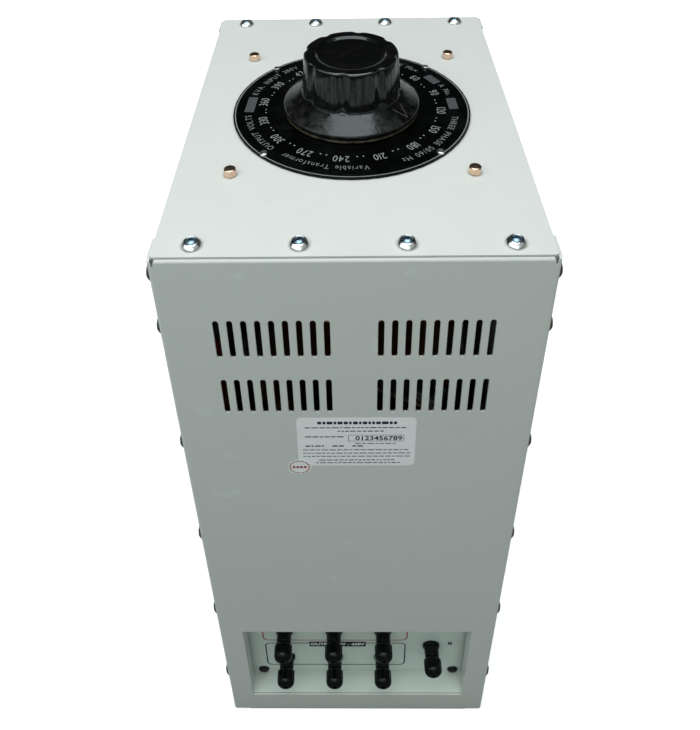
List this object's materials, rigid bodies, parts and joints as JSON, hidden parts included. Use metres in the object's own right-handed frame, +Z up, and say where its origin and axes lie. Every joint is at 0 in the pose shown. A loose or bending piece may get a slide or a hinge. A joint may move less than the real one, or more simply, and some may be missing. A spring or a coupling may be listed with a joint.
{
  "type": "three-phase variac autotransformer",
  "caption": "Free-standing variable autotransformer: tall vented steel case, fluted knob over a round voltage dial, binding posts in a front window, ganged toroidal coils inside.",
  "frame": {"origin": "centre of the base plate's underside, which is the face that the case stands on", "axes": "+Z up, -Y towards the front (binding posts), +X to the right seen from the front"},
  "size_m": [0.245, 0.3355, 0.6525],
  "materials": {
    "case_paint": "light grey baked enamel, satin, faint orange peel",
    "zinc_plate": "zinc plated, bluish",
    "steel": "plain bright steel",
    "copper_plate": "copper-coloured plated, satin",
    "bush_brass": "turned brass",
    "dial_black": "black anodised plate with silver printing",
    "knob_black": "black moulded phenolic, polished, lightly scuffed",
    "terminal_black": "black moulded phenolic",
    "core_steel": "wound silicon-steel strip, varnished",
    "winding_copper": "enamelled copper wire, bared on the brush track",
    "arm_aluminium": "die-cast, satin",
    "brush_carbon": "pressed carbon graphite",
    "cable_sheath": "PVC insulated cables, bound",
    "label_paper": "white paper sticker with grey print"
  },
  "bodies": {
    "case": {"base_plate": "zinc_plate", "cap_nut_front_left": "copper_plate", "cap_nut_front_right": "copper_plate", "cap_nut_rear_left": "copper_plate", "cap_nut_rear_right": "copper_plate", "coil_frame_lower": "zinc_plate", "coil_frame_middle": "zinc_plate", "coil_frame_upper": "zinc_plate", "core_lower": "core_steel", "core_middle": "core_steel", "core_upper": "core_steel", "dial_plate": "dial_black", "front_cover": "case_paint", "left_side_panel": "case_paint", "lower_bush": "bush_brass", "post_input_a": "terminal_black", "post_input_b": "terminal_black", "post_input_c": "terminal_black", "post_neutral": "terminal_black", "post_output_a": "terminal_black", "post_output_b": "terminal_black", "post_output_c": "terminal_black", "rear_cover": "case_paint", "right_side_panel": "case_paint", "terminal_board": "case_paint", "tie_rod_front_left": "steel", "tie_rod_front_right": "steel", "tie_rod_rear_left": "steel", "tie_rod_rear_right": "steel", "top_bush": "bush_brass", "top_plate": "case_paint", "top_screw_front_1": "zinc_plate", "top_screw_front_2": "zinc_plate", "top_screw_front_3": "zinc_plate", "top_screw_front_4": "zinc_plate", "top_screw_rear_1": "zinc_plate", "top_screw_rear_2": "zinc_plate", "top_screw_rear_3": "zinc_plate", "top_screw_rear_4": "zinc_plate", "winding_lower": "winding_copper", "winding_middle": "winding_copper", "winding_upper": "winding_copper", "wiring_loom": "cable_sheath"},
    "rotor": {"knob": "knob_black", "knob_set_screw": "steel", "shaft": "steel", "shaft_collar": "zinc_plate", "brush_arm_lower": "arm_aluminium", "brush_arm_middle": "arm_aluminium", "brush_arm_upper": "arm_aluminium"},
    "brush_lower": {"carbon_brush_lower": "brush_carbon"},
    "brush_middle": {"carbon_brush_middle": "brush_carbon"},
    "brush_upper": {"carbon_brush_upper": "brush_carbon"},
    "cap_input_a": {"cap_input_a": "terminal_black"},
    "cap_input_b": {"cap_input_b": "terminal_black"},
    "cap_input_c": {"cap_input_c": "terminal_black"},
    "cap_output_a": {"cap_output_a": "terminal_black"},
    "cap_output_b": {"cap_output_b": "terminal_black"},
    "cap_output_c": {"cap_output_c": "terminal_black"},
    "cap_neutral": {"cap_neutral": "terminal_black"}
  },
  "joints": [
    {"name": "knob_turn", "type": "hinge", "parent": "case", "child": "rotor", "pos_m": [0, 0, 0.603], "axis": [0, 0, 1], "range_deg": [-205.8, 121]},
    {"name": "brush_lift_lower", "type": "slide", "parent": "rotor", "child": "brush_lower", "axis": [0, 0, 1], "range_m": [0, 0.002], "stiffness_N_per_m": 150, "springref_m": -0.004},
    {"name": "brush_lift_middle", "type": "slide", "parent": "rotor", "child": "brush_middle", "axis": [0, 0, 1], "range_m": [0, 0.002], "stiffness_N_per_m": 150, "springref_m": -0.004},
    {"name": "brush_lift_upper", "type": "slide", "parent": "rotor", "child": "brush_upper", "axis": [0, 0, 1], "range_m": [0, 0.002], "stiffness_N_per_m": 150, "springref_m": -0.004},
    {"name": "cap_unscrew_input_a", "type": "slide", "parent": "case", "child": "cap_input_a", "axis": [0, -1, 0], "range_m": [0, 0.006]},
    {"name": "cap_unscrew_input_b", "type": "slide", "parent": "case", "child": "cap_input_b", "axis": [0, -1, 0], "range_m": [0, 0.006]},
    {"name": "cap_unscrew_input_c", "type": "slide", "parent": "case", "child": "cap_input_c", "axis": [0, -1, 0], "range_m": [0, 0.006]},
    {"name": "cap_unscrew_output_a", "type": "slide", "parent": "case", "child": "cap_output_a", "axis": [0, -1, 0], "range_m": [0, 0.006]},
    {"name": "cap_unscrew_output_b", "type": "slide", "parent": "case", "child": "cap_output_b", "axis": [0, -1, 0], "range_m": [0, 0.006]},
    {"name": "cap_unscrew_output_c", "type": "slide", "parent": "case", "child": "cap_output_c", "axis": [0, -1, 0], "range_m": [0, 0.006]},
    {"name": "cap_unscrew_neutral", "type": "slide", "parent": "case", "child": "cap_neutral", "axis": [0, -1, 0], "range_m": [0, 0.006]}
  ]
}
